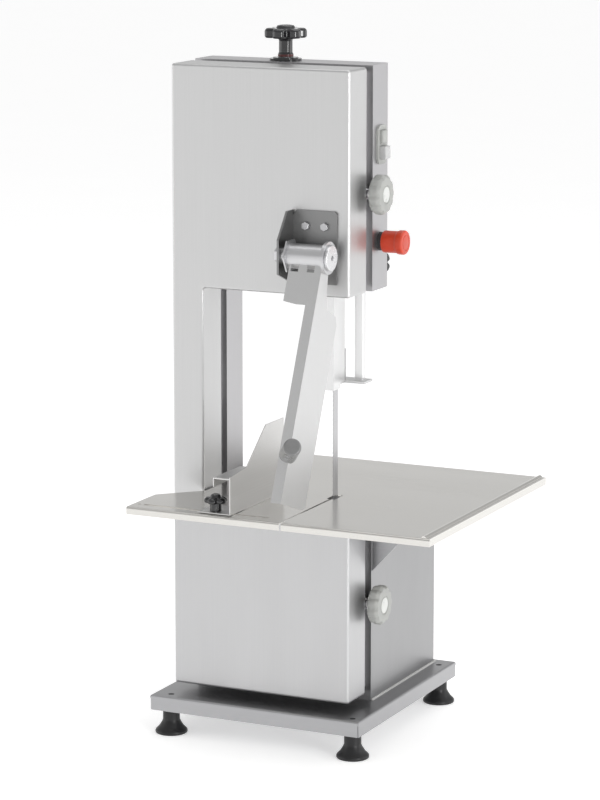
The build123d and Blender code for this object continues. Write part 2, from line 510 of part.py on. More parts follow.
with BuildPart() as fence_knob:
    with BuildSketch(Plane(origin=at(-84, SLOT_D, 350))):
        Circle(15.5)
        with PolarLocations(18.5, 5):
            Circle(7.0, mode=Mode.SUBTRACT)
    extrude(amount=10.0)
    fillet(fence_knob.edges().group_by(Axis.Z)[-1], 1.5)
    rod((-84, SLOT_D, 339.4), (-84, SLOT_D, 350), 8.0)
    rod((-84, SLOT_D, 320), (-84, SLOT_D, 356), 3.0, Mode.SUBTRACT)
save(fence_knob.part, "fence_knob")

with BuildPart() as fence_stud:
    rod((-84, SLOT_D, 329), (-84, SLOT_D, 355.8), 2.95)
    block((-90, -78), (SLOT_D - 7, SLOT_D + 7), (330.4, 334.7))
save(fence_stud.part, "fence_stud")

# ---------------------------------------------------------------- blade guide and guard
with BuildPart() as guide_bar:
    block(BAR_X, BAR_D, (491, 742))
    fillet(guide_bar.edges().filter_by(Axis.Z), 0.8)
save(guide_bar.part, "guide_bar")

with BuildPart() as guide_foot:
    block((11, 49), (61, 88), (488, 491))
    block((11, 20), (47, 61.2), (488, 491))
    block((18, 21), (61, 64), (491, 534))
    # pin that carries the back-up roller
    rod((10.6, 52.6, 514), (19.4, 52.6, 514), 2.0)
    block((10.6, 11.3), (46, 59.5), (490.5, 520))
save(guide_foot.part, "guide_foot")

GUARD_X, GUARD_D = (9.0, 21.0), (25.0, 60.0)
with BuildPart() as blade_guard:
    block(GUARD_X, GUARD_D, (483, 626))
    block((GUARD_X[0] + 1.5, GUARD_X[1] - 1.5), (GUARD_D[0] + 1.5, 65), (480, 630), Mode.SUBTRACT)
    block((0, GUARD_X[0] + 5), (52, 65), (480, 630), Mode.SUBTRACT)
    block((GUARD_X[0] - 1, GUARD_X[1] + 1), (46.5, 65), (480, 491.4), Mode.SUBTRACT)
save(blade_guard.part, "blade_guard")

with BuildPart() as guide_blocks:
    # two nylon cheeks beside the blade, behind the teeth
    for low, high in ((10.7, 17.1), (18.3, 19.4)):
        block((low, high), (34, 46), (491.2, 506))
save(guide_blocks.part, "upper_guide_blocks")

with BuildPart() as guide_roller:
    ring((11.5, 52.6, 514), (19.0, 52.6, 514), 7.3, 2.05)
save(guide_roller.part, "backup_roller")

with BuildPart() as guide_clamp:
    # block in the head that the guide bar slides through
    block((20, 52), (72.2, 112), (616, 660))
    block((BAR_X[0] - 0.3, BAR_X[1] + 0.3), (BAR_D[0] - 0.3, BAR_D[1] + 0.3), (610, 670), Mode.SUBTRACT)
    rod((34, BAR_D[1], 642), (34, 120, 642), 5.2, Mode.SUBTRACT)
save(guide_clamp.part, "guide_clamp")

with BuildPart() as clamp_knob:
    rod((34, BAR_D[1] + 0.6, 642), (34, 132, 642), 5.0)
    with BuildSketch(Plane(origin=at(34, 129, 642), x_dir=(1, 0, 0), z_dir=(0, 1, 0))):
        Circle(20.5)
        with PolarLocations(24.0, 7):
            Circle(6.0, mode=Mode.SUBTRACT)
    extrude(amount=12.0)
    rod((34, HEAD_BACK + 0.5, 642), (34, 129, 642), 10.0)
save(clamp_knob.part, "guide_clamp_knob")

with BuildPart() as lower_guide:
    block((8.2, 17.0), (33, 58), (296, 314))
    block((18.4, 27.2), (33, 58), (296, 314))
    block((8.2, 27.2), (48, 61.8), (296, 314))
    block((8.2, 27.2), (46, 50), (290, 298))
    # scrapers that keep the blade and the wheel clean
    block((BLADE_X + 0.7, BLADE_X + 22), (30, 61.8), (250, 253))
    block((WHEEL_X + 6, WHEEL_X + 9), (28, 61.8), (LOWER_Z + LOOP_R - 18, LOWER_Z + LOOP_R - 0.5))
    block((WHEEL_X - 5, WHEEL_X + 20), (55, 61.8), (LOWER_Z + LOOP_R - 18, LOWER_Z + LOOP_R - 14))
    block((WHEEL_X + 6, WHEEL_X + 9), (28, 50), (LOWER_Z + 60, LOWER_Z + LOOP_R + 2), Mode.SUBTRACT)
    block((WHEEL_X - 5, WHEEL_X + 20), (48, 55), (LOWER_Z + LOOP_R - 18, LOWER_Z + LOOP_R - 14))
save(lower_guide.part, "lower_guide_and_scrapers")

# ---------------------------------------------------------------- pusher arm
with BuildPart() as arm_bracket:
    front_panel([(-25, 632), (-22, 629), (37, 629), (38, 632), (38, 722), (35, 725.5), (-20, 725.5), (-25, 718)],
                -3.0, -0.2)
    with BuildSketch(Plane(origin=at(-27.6, 0, 0), x_dir=(0, 1, 0), z_dir=(1, 0, 0))):
        Polygon((-0.2, 632), (-14, 632), (-47, 645), (-47, 690), (-20, 725), (-0.2, 725), align=None)
    extrude(amount=3.0)
    rod((-30, PIVOT_D, PIVOT_Z), (-20, PIVOT_D, PIVOT_Z), 8.0, Mode.SUBTRACT)
save(arm_bracket.part, "arm_bracket")

with BuildPart() as bracket_hex_bolts:
    for x in (-6.0, 21.0):
        hex_head((x, -3.0, 705), (x, -7.5, 705), 10.0)
    fillet(bracket_hex_bolts.edges().group_by(Axis.Y)[0], 0.6)
save(bracket_hex_bolts.part, "arm_bracket_bolts")

with BuildPart() as pivot_shaft:
    rod((-31, PIVOT_D, PIVOT_Z), (39.0, PIVOT_D, PIVOT_Z), 8.0)
    hex_head((-34, PIVOT_D, PIVOT_Z), (-27.6, PIVOT_D, PIVOT_Z), 19.0)
    # shoulder between the bracket's cheek and the first bush
    rod((-24.4, PIVOT_D, PIVOT_Z), (-17.8, PIVOT_D, PIVOT_Z), 11.0)
save(pivot_shaft.part, "arm_pivot_shaft")

HUB_R = 16.5                        # outside of the tube the arm turns with
with BuildPart() as arm_hub:
    rod((-14, PIVOT_D, PIVOT_Z), (41.0, PIVOT_D, PIVOT_Z), HUB_R)
    rod((ARM_X, PIVOT_D, PIVOT_Z), (41.0, PIVOT_D, PIVOT_Z), 21.5)
    # hexagonal end plate towards the bracket's cheek
    with BuildSketch(Plane(origin=at(-16, PIVOT_D, PIVOT_Z), x_dir=(0, 1, 0), z_dir=(1, 0, 0))):
        RegularPolygon(23.5, 6)
    extrude(amount=2.0)
    rod((-17, PIVOT_D, PIVOT_Z), (42.0, PIVOT_D, PIVOT_Z), 10.5, Mode.SUBTRACT)
    rod((39.2, PIVOT_D, PIVOT_Z), (42.0, PIVOT_D, PIVOT_Z), 11.8, Mode.SUBTRACT)
save(arm_hub.part, "arm_hub")

with BuildPart() as arm_bushes:
    ring((-17.5, PIVOT_D, PIVOT_Z), (2, PIVOT_D, PIVOT_Z), 10.5, 8.06)
    ring((20, PIVOT_D, PIVOT_Z), (38.5, PIVOT_D, PIVOT_Z), 10.5, 8.06)
save(arm_bushes.part, "arm_bushes")

with BuildPart() as arm_cap:
    rod((39.3, PIVOT_D, PIVOT_Z), (41.4, PIVOT_D, PIVOT_Z), 11.5)
    rod((41.3, PIVOT_D, PIVOT_Z), (45.0, PIVOT_D, PIVOT_Z), 17.0)
    fillet(arm_cap.edges().group_by(Axis.X)[-1], 1.0)
    with BuildSketch(Plane(origin=at(45.5, PIVOT_D, PIVOT_Z), x_dir=(0, 1, 0), z_dir=(-1, 0, 0))):
        RegularPolygon(4.0, 6)
    extrude(amount=3.0, mode=Mode.SUBTRACT)
save(arm_cap.part, "arm_end_screw")

# The arm hangs straight down from the pivot in its own frame, then leans by ARM_LEAN.
ARM_FRAME = Plane(Location(at(0, PIVOT_D, PIVOT_Z), (-ARM_LEAN, 0, 0)))
FOLD_Y = -9.0
with BuildPart() as pusher_arm:
    side = Plane(ARM_FRAME.from_local_coords((ARM_X - 2, 0, 0)), x_dir=ARM_FRAME.y_dir, z_dir=(1, 0, 0))
    with BuildSketch(side):
        Polygon((FOLD_Y, -12), (12, -11), (17, -36), (27, -62), (58, -64), (65, -74), (65, -318),
                (55, -322), (FOLD_Y, -327), align=None)
    extrude(amount=2.0)
    web = Plane(ARM_FRAME.from_local_coords((0, FOLD_Y, 0)), x_dir=(1, 0, 0), z_dir=-ARM_FRAME.y_dir)
    with BuildSketch(web):
        Polygon((-9.5, -12), (ARM_X, -12), (ARM_X, -327), (22.5, -327), (22.5, -66), (8, -66), (-9.5, -63),
                align=None)
    extrude(amount=-2.0)
    # two relief notches where the web is welded to the hub
    with BuildSketch(web):
        with Locations((-1.5, -16), (21.5, -16)):
            Rectangle(11.0, 14.0)
    extrude(amount=-2.0, mode=Mode.SUBTRACT)
    rod((-30, PIVOT_D, PIVOT_Z), (50, PIVOT_D, PIVOT_Z), HUB_R, Mode.SUBTRACT)
save(pusher_arm.part, "pusher_arm")

HANDLE_Z = -262.0
HANDLE_AXIS = Vector(0.50, -0.75, 0.42).normalized()
HANDLE_R = 11.5
with BuildPart() as arm_handle:
    # turned grip that points up and to the operator's right from the arm's bent edge
    grip_foot = ARM_FRAME.from_local_coords((36.0, FOLD_Y, HANDLE_Z))
    with BuildSketch(Plane(origin=grip_foot - HANDLE_AXIS * 8.0, z_dir=HANDLE_AXIS)):
        Circle(HANDLE_R)
    extrude(amount=46.0)
    fillet(arm_handle.edges().sort_by(Axis(grip_foot, HANDLE_AXIS))[-1], 3.0)
    # seat over the arm's corner
    with BuildSketch(Plane(ARM_FRAME.from_local_coords((0, 0, HANDLE_Z)), x_dir=(1, 0, 0), z_dir=ARM_FRAME.z_dir)):
        with Locations((ARM_X - 40.0, FOLD_Y + 40.0)):
            Rectangle(80.0, 80.0)
    extrude(amount=60.0, both=True, mode=Mode.SUBTRACT)
save(arm_handle.part, "arm_handle")

# ---------------------------------------------------------------- controls
with BuildPart() as switch_base:
    with BuildSketch(Plane(origin=at(SIDE_X, SWITCH_D, SWITCH_Z), x_dir=(0, 1, 0), z_dir=(1, 0, 0))):
        RectangleRounded(28, 52, 9)
    extrude(amount=3.0)
    block((42, SIDE_X + 0.1), (SWITCH_D - 9.5, SWITCH_D + 9.5), (SWITCH_Z - 19.5, SWITCH_Z + 19.5))
    for z in (SWITCH_Z + 10.5, SWITCH_Z - 10.5):
        block((50, 62), (SWITCH_D - 8.4, SWITCH_D + 8.4), (z - 8.9, z + 8.9), Mode.SUBTRACT)
save(switch_base.part, "switch_base")

for button_name, z, proud in (("start_button", SWITCH_Z + 10.5, 4.5), ("stop_button", SWITCH_Z - 10.5, 8.5)):
    with BuildPart() as button:
        block((53.5, SIDE_X + 3 + proud), (SWITCH_D - 8, SWITCH_D + 8), (z - 8.5, z + 8.5))
        fillet(button.edges().group_by(Axis.X)[-1], 2.0)
    save(button.part, button_name)

with BuildPart() as estop_collar:
    ring((SIDE_X, ESTOP_D, ESTOP_Z), (SIDE_X + 14, ESTOP_D, ESTOP_Z), 12.4, 8.1)
    ring((44, ESTOP_D, ESTOP_Z), (SIDE_X, ESTOP_D, ESTOP_Z), 11.0, 8.1)
save(estop_collar.part, "estop_collar")

with BuildPart() as estop_button:
    # cap whose skirt slides over the collar
    rod((62.5, ESTOP_D, ESTOP_Z), (84, ESTOP_D, ESTOP_Z), 14.8)
    rod((83, ESTOP_D, ESTOP_Z), (93.4, ESTOP_D, ESTOP_Z), 16.4)
    fillet(estop_button.edges().group_by(Axis.X)[-1], 2.5)
    rod((62, ESTOP_D, ESTOP_Z), (75, ESTOP_D, ESTOP_Z), 12.9, Mode.SUBTRACT)
    rod((48, ESTOP_D, ESTOP_Z), (76, ESTOP_D, ESTOP_Z), 8.0)
save(estop_button.part, "estop_button")
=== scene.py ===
import json
import math

import bmesh
import bpy
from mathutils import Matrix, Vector


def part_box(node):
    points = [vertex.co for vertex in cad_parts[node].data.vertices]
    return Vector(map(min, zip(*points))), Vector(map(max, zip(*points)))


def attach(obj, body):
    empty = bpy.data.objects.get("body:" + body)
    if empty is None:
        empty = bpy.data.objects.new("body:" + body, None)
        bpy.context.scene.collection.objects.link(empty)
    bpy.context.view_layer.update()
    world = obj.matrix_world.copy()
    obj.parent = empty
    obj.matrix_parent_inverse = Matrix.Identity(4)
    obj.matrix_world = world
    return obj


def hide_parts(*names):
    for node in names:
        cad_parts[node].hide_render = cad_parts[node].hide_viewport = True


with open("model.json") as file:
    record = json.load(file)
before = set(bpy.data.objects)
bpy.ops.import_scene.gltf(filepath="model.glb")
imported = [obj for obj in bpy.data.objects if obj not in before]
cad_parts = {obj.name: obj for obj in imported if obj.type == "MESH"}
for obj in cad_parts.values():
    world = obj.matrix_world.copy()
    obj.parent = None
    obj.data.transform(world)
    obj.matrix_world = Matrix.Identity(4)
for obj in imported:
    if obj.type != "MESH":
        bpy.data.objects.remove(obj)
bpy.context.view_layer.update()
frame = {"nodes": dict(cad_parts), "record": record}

MM = 0.001
TAU = 2 * math.pi


# ---------------------------------------------------------------- node helpers
def new_material(name):
    material = bpy.data.materials.new(name)
    material.use_nodes = True
    nodes = material.node_tree.nodes
    nodes.clear()
    output = nodes.new("ShaderNodeOutputMaterial")
    shader = nodes.new("ShaderNodeBsdfPrincipled")
    material.node_tree.links.new(shader.outputs["BSDF"], output.inputs["Surface"])
    return material, material.node_tree, shader


def stretched_noise(tree, stretch, detail=6.0, roughness=0.6):
    """Noise in row-frame metres with its own scale along each axis."""
    place = tree.nodes.new("ShaderNodeTexCoord")
    mapping = tree.nodes.new("ShaderNodeMapping")
    mapping.inputs["Scale"].default_value = stretch
    noise = tree.nodes.new("ShaderNodeTexNoise")
    noise.inputs["Scale"].default_value = 1.0
    noise.inputs["Detail"].default_value = detail
    noise.inputs["Roughness"].default_value = roughness
    tree.links.new(place.outputs["Object"], mapping.inputs["Vector"])
    tree.links.new(mapping.outputs["Vector"], noise.inputs["Vector"])
    return noise.outputs["Fac"]


def remap(tree, value, low, high, start=0.3, end=0.7):
    node = tree.nodes.new("ShaderNodeMapRange")
    node.inputs["From Min"].default_value = start
    node.inputs["From Max"].default_value = end
    node.inputs["To Min"].default_value = low
    node.inputs["To Max"].default_value = high
    tree.links.new(value, node.inputs["Value"])
    return node.outputs["Result"]


def tint(tree, value, dark, light):
    ramp = tree.nodes.new("ShaderNodeValToRGB")
    ramp.color_ramp.elements[0].position = 0.3
    ramp.color_ramp.elements[1].position = 0.7
    ramp.color_ramp.elements[0].color = (*dark, 1)
    ramp.color_ramp.elements[1].color = (*light, 1)
    tree.links.new(value, ramp.inputs["Fac"])
    return ramp.outputs["Color"]


def add_sum(tree, first, second):
    node = tree.nodes.new("ShaderNodeMath")
    node.operation = "ADD"
    tree.links.new(first, node.inputs[0])
    tree.links.new(second, node.inputs[1])
    return node.outputs["Value"]


def bump(tree, shader, value, strength, distance):
    node = tree.nodes.new("ShaderNodeBump")
    node.inputs["Strength"].default_value = strength
    node.inputs["Distance"].default_value = distance
    tree.links.new(value, node.inputs["Height"])
    tree.links.new(node.outputs["Normal"], shader.inputs["Normal"])


# noise scales per metre: hairlines and smudges drawn out along one axis
GRAIN = {"x": (5, 1400, 1400), "y": (1400, 5, 1400), "z": (1400, 1400, 5), "none": (500, 500, 500)}
SMUDGE = {"x": (3, 14, 14), "y": (14, 3, 14), "z": (14, 14, 3), "none": (20, 20, 20)}


def metal(name, colour, grain="z", rough=0.34, spread=0.10, shade=0.05, depth=0.00002):
    """Brushed or ground metal: hairlines along one axis, soft smudges and a slight tone drift."""
    material, tree, shader = new_material(name)
    shader.inputs["Metallic"].default_value = 1.0
    hair = stretched_noise(tree, GRAIN[grain], 4.0)
    smudge = stretched_noise(tree, SMUDGE[grain], 5.0, 0.7)
    fine = remap(tree, hair, rough - spread / 2, rough + spread / 2)
    drift = remap(tree, smudge, -0.04, 0.04)
    tree.links.new(add_sum(tree, fine, drift), shader.inputs["Roughness"])
    dark = tuple(c * (1 - shade) for c in colour)
    light = tuple(min(1.0, c * (1 + shade)) for c in colour)
    tree.links.new(tint(tree, hair, dark, light), shader.inputs["Base Color"])
    bump(tree, shader, hair, 0.35, depth)
    return material


def plastic(name, colour, rough=0.35, grain_scale=900, depth=0.00003, coat=0.0, shade=0.08):
    """Moulded plastic or rubber with fine spark-erosion texture and faint handling wear."""
    material, tree, shader = new_material(name)
    fine = stretched_noise(tree, (grain_scale,) * 3, 3.0)
    broad = stretched_noise(tree, (45, 45, 45), 4.0)
    tree.links.new(remap(tree, broad, rough - 0.06, rough + 0.08), shader.inputs["Roughness"])
    dark = tuple(c * (1 - shade) for c in colour)
    light = tuple(min(1.0, c * (1 + shade)) for c in colour)
    tree.links.new(tint(tree, broad, dark, light), shader.inputs["Base Color"])
    shader.inputs["Coat Weight"].default_value = coat
    shader.inputs["Coat Roughness"].default_value = 0.08
    bump(tree, shader, fine, 0.3, depth)
    return material


def cast(name, colour, rough=0.5):
    """Sand-cast or die-cast aluminium."""
    material, tree, shader = new_material(name)
    shader.inputs["Metallic"].default_value = 1.0
    grit = stretched_noise(tree, (420, 420, 420), 5.0)
    broad = stretched_noise(tree, (30, 30, 30), 3.0)
    tree.links.new(remap(tree, broad, rough - 0.08, rough + 0.08), shader.inputs["Roughness"])
    tree.links.new(tint(tree, grit, tuple(c * 0.88 for c in colour), colour), shader.inputs["Base Color"])
    bump(tree, shader, grit, 0.5, 0.00012)
    return material


MATERIALS = {
    "door_steel": metal("door_steel", (0.60, 0.60, 0.60), "z", 0.40, 0.07, 0.025),
    "case_steel": metal("case_steel", (0.50, 0.495, 0.505), "z", 0.38, 0.08, 0.03),
    "tray_steel": metal("tray_steel", (0.42, 0.42, 0.43), "x", 0.36, 0.08, 0.03),
    "table_steel": metal("table_steel", (0.70, 0.685, 0.655), "x", 0.22, 0.08, 0.03),
    "fence_steel": metal("fence_steel", (0.66, 0.655, 0.645), "y", 0.33, 0.08, 0.03),
    "arm_steel": metal("arm_steel", (0.66, 0.66, 0.66), "z", 0.40, 0.08, 0.025),
    "bright_steel": metal("bright_steel", (0.66, 0.66, 0.67), "none", 0.22, 0.08, 0.03),
    "bolt_steel": metal("bolt_steel", (0.52, 0.52, 0.53), "none", 0.30, 0.10, 0.05),
    "blade_steel": metal("blade_steel", (0.52, 0.52, 0.53), "z", 0.30, 0.10, 0.05),
    "wheel_aluminium": cast("wheel_aluminium", (0.62, 0.63, 0.64)),
    "motor_aluminium": cast("motor_aluminium", (0.42, 0.43, 0.45), 0.55),
    "bronze": metal("bronze", (0.62, 0.43, 0.20), "none", 0.38, 0.10, 0.06),
    "gasket_rubber": plastic("gasket_rubber", (0.022, 0.022, 0.024), 0.75, 500, 0.0001),
    "foot_rubber": plastic("foot_rubber", (0.006, 0.006, 0.007), 0.42, 700, 0.00005),
    "black_gloss": plastic("black_gloss", (0.008, 0.008, 0.010), 0.20, 900, 0.00001, 0.6),
    "black_matte": plastic("black_matte", (0.018, 0.018, 0.020), 0.50),
    "grey_plastic": plastic("grey_plastic", (0.36, 0.365, 0.35), 0.40),
    "light_plastic": plastic("light_plastic", (0.50, 0.50, 0.50), 0.38),
    "nylon": plastic("nylon", (0.72, 0.71, 0.66), 0.45),
    "red_plastic": plastic("red_plastic", (0.56, 0.040, 0.010), 0.34, 900, 0.00002, 0.2),
}
CAP_GREY = plastic("cap_grey", (0.62, 0.63, 0.61), 0.30, 900, 0.00001, 0.2)
STEM_RED = plastic("stem_red", (0.10, 0.012, 0.012), 0.30)
SEALANT = plastic("sealant", (0.48, 0.48, 0.47), 0.40, 300, 0.0001)

# nodes given their own material instead of their slot's; the cabinet, lower door, guide bar and blade
# guard colours are painted light and shade
LOOKS_AND_PAINTED_LIGHT = {
    "arm_bracket": metal("bracket_steel", (0.26, 0.26, 0.26), "z", 0.36, 0.08, 0.03),
    # painted shade: cabinet and lower door are darker than the other steel for the shade under the table
    "motor_cabinet": metal("cabinet_steel_painted_shade", (0.36, 0.36, 0.365), "z", 0.38, 0.08, 0.03),
    "lower_door": metal("lower_door_steel_painted_shade", (0.54, 0.54, 0.545), "z", 0.40, 0.07, 0.025),
    # painted light: guide bar and blade guard are lighter than the fence steel to match their brightly lit
    # faces
    "guide_bar": metal("bar_steel_painted_light", (0.84, 0.84, 0.84), "z", 0.34, 0.08, 0.02),
    "blade_guard": metal("guard_steel_painted_light", (0.80, 0.80, 0.80), "z", 0.40, 0.08, 0.02),
    "arm_handle": plastic("handle_grey", (0.17, 0.17, 0.17), 0.30, 900, 0.00002, 0.3),
    "arm_end_screw": metal("end_screw_steel", (0.74, 0.74, 0.75), "none", 0.28, 0.08, 0.03),
    "arm_hub": metal("hub_steel", (0.60, 0.60, 0.61), "x", 0.34, 0.08, 0.03),
}
SLOT_OF = {row["node"]: row["material_slot"] for row in frame["record"]["subparts"]}
THIN_BEVEL, TABLE_BEVEL = 0.35 * MM, 1.0 * MM

# every CAD node gets its own material or its slot's material and a fine edge break
for name, obj in frame["nodes"].items():
    obj.data.materials.clear()
    obj.data.materials.append(LOOKS_AND_PAINTED_LIGHT.get(name, MATERIALS[SLOT_OF[name]]))
    edge = obj.modifiers.new("edge_break", "BEVEL")
    edge.width = TABLE_BEVEL if name == "work_table" else THIN_BEVEL
    edge.segments = 3
    edge.limit_method = "ANGLE"
    edge.angle_limit = math.radians(32)
    edge.harden_normals = False


# ---------------------------------------------------------------- mesh helpers
def axes_for(axis):
    """Two directions square to an axis."""
    axis = Vector(axis).normalized()
    side = Vector((0, 0, 1)) if abs(axis.z) < 0.9 else Vector((1, 0, 0))
    u = side.cross(axis).normalized()
    return axis, u, axis.cross(u)


def build(name, verts, faces, material, body, replaced=(), sharp=40):
    """Closed, smooth-shaded piece that rides on a body and may stand in for CAD nodes."""
    mesh = bpy.data.meshes.new(name)
    mesh.from_pydata([tuple(v) for v in verts], [], faces)
    mesh.materials.append(material)
    work = bmesh.new()
    work.from_mesh(mesh)
    bmesh.ops.remove_doubles(work, verts=work.verts, dist=1e-7)
    bmesh.ops.recalc_face_normals(work, faces=work.faces)
    work.to_mesh(mesh)
    work.free()
    mesh.shade_smooth()
    mesh.set_sharp_from_angle(angle=math.radians(sharp))
    piece = bpy.data.objects.new(name, mesh)
    bpy.context.scene.collection.objects.link(piece)
    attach(piece, body)
    if replaced:
        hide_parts(*replaced)
    return piece


def rings_mesh(loops, close_start=True, close_end=True):
    """Vertices and faces of a stack of closed loops with the same number of points."""
    count = len(loops[0])
    verts = [v for loop in loops for v in loop]
    faces = []
    for k in range(len(loops) - 1):
        for i in range(count):
            j = (i + 1) % count
            faces.append((k * count + i, k * count + j, (k + 1) * count + j, (k + 1) * count + i))
    if close_start:
        faces.append(tuple(range(count)))
    if close_end:
        faces.append(tuple((len(loops) - 1) * count + i for i in range(count)))
    return verts, faces


def turned(profile, origin, axis, radius=lambda r, h, a: r, steps=96):
    """Loops of a turned shape. profile is (radius, height) in mm, radius() may add lobes or ribs."""
    axis, u, v = axes_for(axis)
    loops = []
    for r, h in profile:
        loop = []
        for i in range(steps):
            a = TAU * i / steps
            rr = radius(r, h, a) * MM
            loop.append(Vector(origin) + axis * h * MM + u * rr * math.cos(a) + v * rr * math.sin(a))
        loops.append(loop)
    return loops


def rounded(points, radius=1.0, steps=4):
    """Profile with each inner corner rounded off by a small quadratic curve."""
    out = [points[0]]
    for before, corner, after in zip(points, points[1:], points[2:]):
        b, c, a = Vector(before), Vector(corner), Vector(after)
        cut = min(radius, (b - c).length * 0.45, (a - c).length * 0.45)
        p, q = c + (b - c).normalized() * cut, c + (a - c).normalized() * cut
        for k in range(steps + 1):
            t = k / steps
            out.append(tuple(p * (1 - t) ** 2 + c * 2 * t * (1 - t) + q * t * t))
    out.append(points[-1])
    return out


def centre(node):
    low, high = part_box(node)
    return (Vector(low) + Vector(high)) / 2


def low_high(node):
    low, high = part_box(node)
    return Vector(low), Vector(high)


# ---------------------------------------------------------------- camera
FOCAL_PIXELS = 3209.3               # focal length over the frame's 800 pixel height
FRAME_HEIGHT = 800
SENSOR_MM = 36.0
LOOK_DOWN, LOOK_AROUND = 9.06, 25.44  # degrees


def make_camera():
    data = bpy.data.cameras.new("camera")
    data.sensor_width = SENSOR_MM
    data.lens = FOCAL_PIXELS * SENSOR_MM / FRAME_HEIGHT
    data.shift_y = -0.13
    data.clip_end = 100
    camera = bpy.data.objects.new("camera", data)
    bpy.context.scene.collection.objects.link(camera)
    camera.location = (1.7697, -3.8206, 1.2740)
    camera.rotation_euler = (math.radians(90 - LOOK_DOWN), 0, math.radians(LOOK_AROUND))
    bpy.context.scene.camera = camera


make_camera()


# ---------------------------------------------------------------- knobs
def lobes(count, depth, width, reach):
    """Radius with rounded finger notches between the lobes, fading out near the hub."""
    def radius(r, h, a):
        phase = (a * count / TAU) % 1.0 - 0.5
        notch = math.exp(-(phase / width) ** 2)
        fade = max(0.0, min(1.0, (r - reach * 0.45) / (reach * 0.3)))
        return r - depth * notch * fade
    return radius


def lobed_knob(name, node, body, count, radius, base, height, boss, cap_radius, material, axis,
               origin, depth=5.0, width=0.17, neck=None):
    """Clamping knob: hub below, lobed grip with rounded rims, a raised boss and an inlaid cap."""
    grip = rounded([(boss, 0.0), (radius - 1.5, 0.0), (radius, 2.0), (radius, height - 3.0),
                    (radius - 3.0, height), (boss + 1.5, height)], 2.0)
    crown = rounded([(boss, height + 2.8), (boss - 1.0, height + 3.6), (cap_radius, height + 3.6)], 0.8)
    profile = ([] if neck is None else [(neck, -base), (neck, 0.0)]) + grip + crown
    profile += [(cap_radius, height + 3.0), (0.2, height + 3.0)]
    loops = turned(profile, origin, axis, lobes(count, depth, width, radius), 140)
    verts, faces = rings_mesh(loops, True, True)
    return build(name, verts, faces, material, body, (node,), 35)


def disc_cap(name, origin, axis, radius, height, material, body, ring=0.6):
    """Inlaid cap with a shallow ring groove, plain in place of any symbol."""
    profile = rounded([(radius, 0.0), (radius, height), (radius * ring + 0.6, height),
                       (radius * ring, height - 0.35), (radius * ring - 0.6, height), (0.2, height)], 0.4)
    verts, faces = rings_mesh(turned(profile, origin, axis, steps=72))
    return build(name, verts, faces, material, body)


FLUTES = 11


def fluted_knob(side):
    """Door knob: short hub, eleven finger flutes, flat face with a ring groove round a plain cap."""
    node = f"{side}_door_knob"
    low, high = low_high(node)
    mid = centre(node)

    def flutes(r, h, a):
        phase = (a * FLUTES / TAU) % 1.0 - 0.5
        fade = max(0.0, min(1.0, (r - 20.0) / 5.0)) * max(0.0, min(1.0, (h - 4.6) / 1.0))
        return r - 2.6 * fade * math.exp(-(phase / 0.24) ** 2)

    profile = rounded([(6.0, 0.0), (9.0, 0.0), (9.0, 4.5), (24.5, 4.5), (26.6, 7.0), (26.9, 16.0),
                       (24.0, 20.0), (12.8, 20.0), (12.2, 19.0), (11.4, 19.0), (11.2, 19.2),
                       (0.2, 19.2)], 1.3)
    loops = turned(profile, (low.x, mid.y, mid.z), (1, 0, 0), flutes, 176)
    verts, faces = rings_mesh(loops)
    build(f"{side}_fluted_knob", verts, faces, MATERIALS["grey_plastic"], node, (node,), 35)
    disc_cap(f"{side}_knob_cap", (high.x - 1.2 * MM, mid.y, mid.z), (1, 0, 0), 10.4, 1.15, CAP_GREY, node,
             0.72)


fluted_knob("upper")
fluted_knob("lower")

low, high = low_high("star_knob")
star = centre("star_knob")
grip_z = high.z - 17 * MM
lobed_knob("star_grip", "star_knob", "tension_screw", 6, 28.4, 0, 13.2, 11.5, 8.5,
           MATERIALS["black_gloss"], (0, 0, 1), (star.x, star.y, grip_z), 8.0, 0.20)
stem = rounded([(10.4, 0.0), (10.4, 4.0), (9.2, 6.0), (9.2, 22.0), (11.5, 25.4), (11.5, 25.6)], 1.2)
verts, faces = rings_mesh(turned(stem, (star.x, star.y, low.z), (0, 0, 1)))
build("star_stem", verts, faces, MATERIALS["black_gloss"], "tension_screw")
collar = rounded([(9.4, 0.0), (10.45, 0.0), (10.45, 3.2), (9.4, 3.2)], 0.5)
verts, faces = rings_mesh(turned(collar, (star.x, star.y, low.z + 0.4 * MM), (0, 0, 1)))
build("star_stem_ring", verts, faces, STEM_RED, "tension_screw")

low, high = low_high("fence_knob")
mid = centre("fence_knob")
FENCE_KNOB_NECK = 10.6              # height of the grip above the knob's foot
lobed_knob("fence_knob_grip", "fence_knob", "fence_knob", 5, 15.4, FENCE_KNOB_NECK, 7.6, 6.5, 4.5,
           MATERIALS["black_gloss"], (0, 0, 1),
           (mid.x, mid.y, low.z + FENCE_KNOB_NECK * MM), 3.6, 0.2, 7.9)

low, high = low_high("guide_clamp_knob")
mid = centre("guide_clamp_knob")
back = Vector((mid.x, high.y - 12 * MM, mid.z))
lobed_knob("guide_clamp_grip", "guide_clamp_knob", "guide_clamp_knob", 7, 20.4, 7.9, 8.2, 9.0, 6.0,
           MATERIALS["black_gloss"], (0, 1, 0), back, 4.0, 0.17, 9.9)
shank = [(4.95, 0.0), (4.95, (back.y - low.y) / MM)]
verts, faces = rings_mesh(turned(shank, (mid.x, low.y, mid.z), (0, 1, 0)))
build("guide_clamp_shank", verts, faces, MATERIALS["bright_steel"], "guide_clamp_knob")


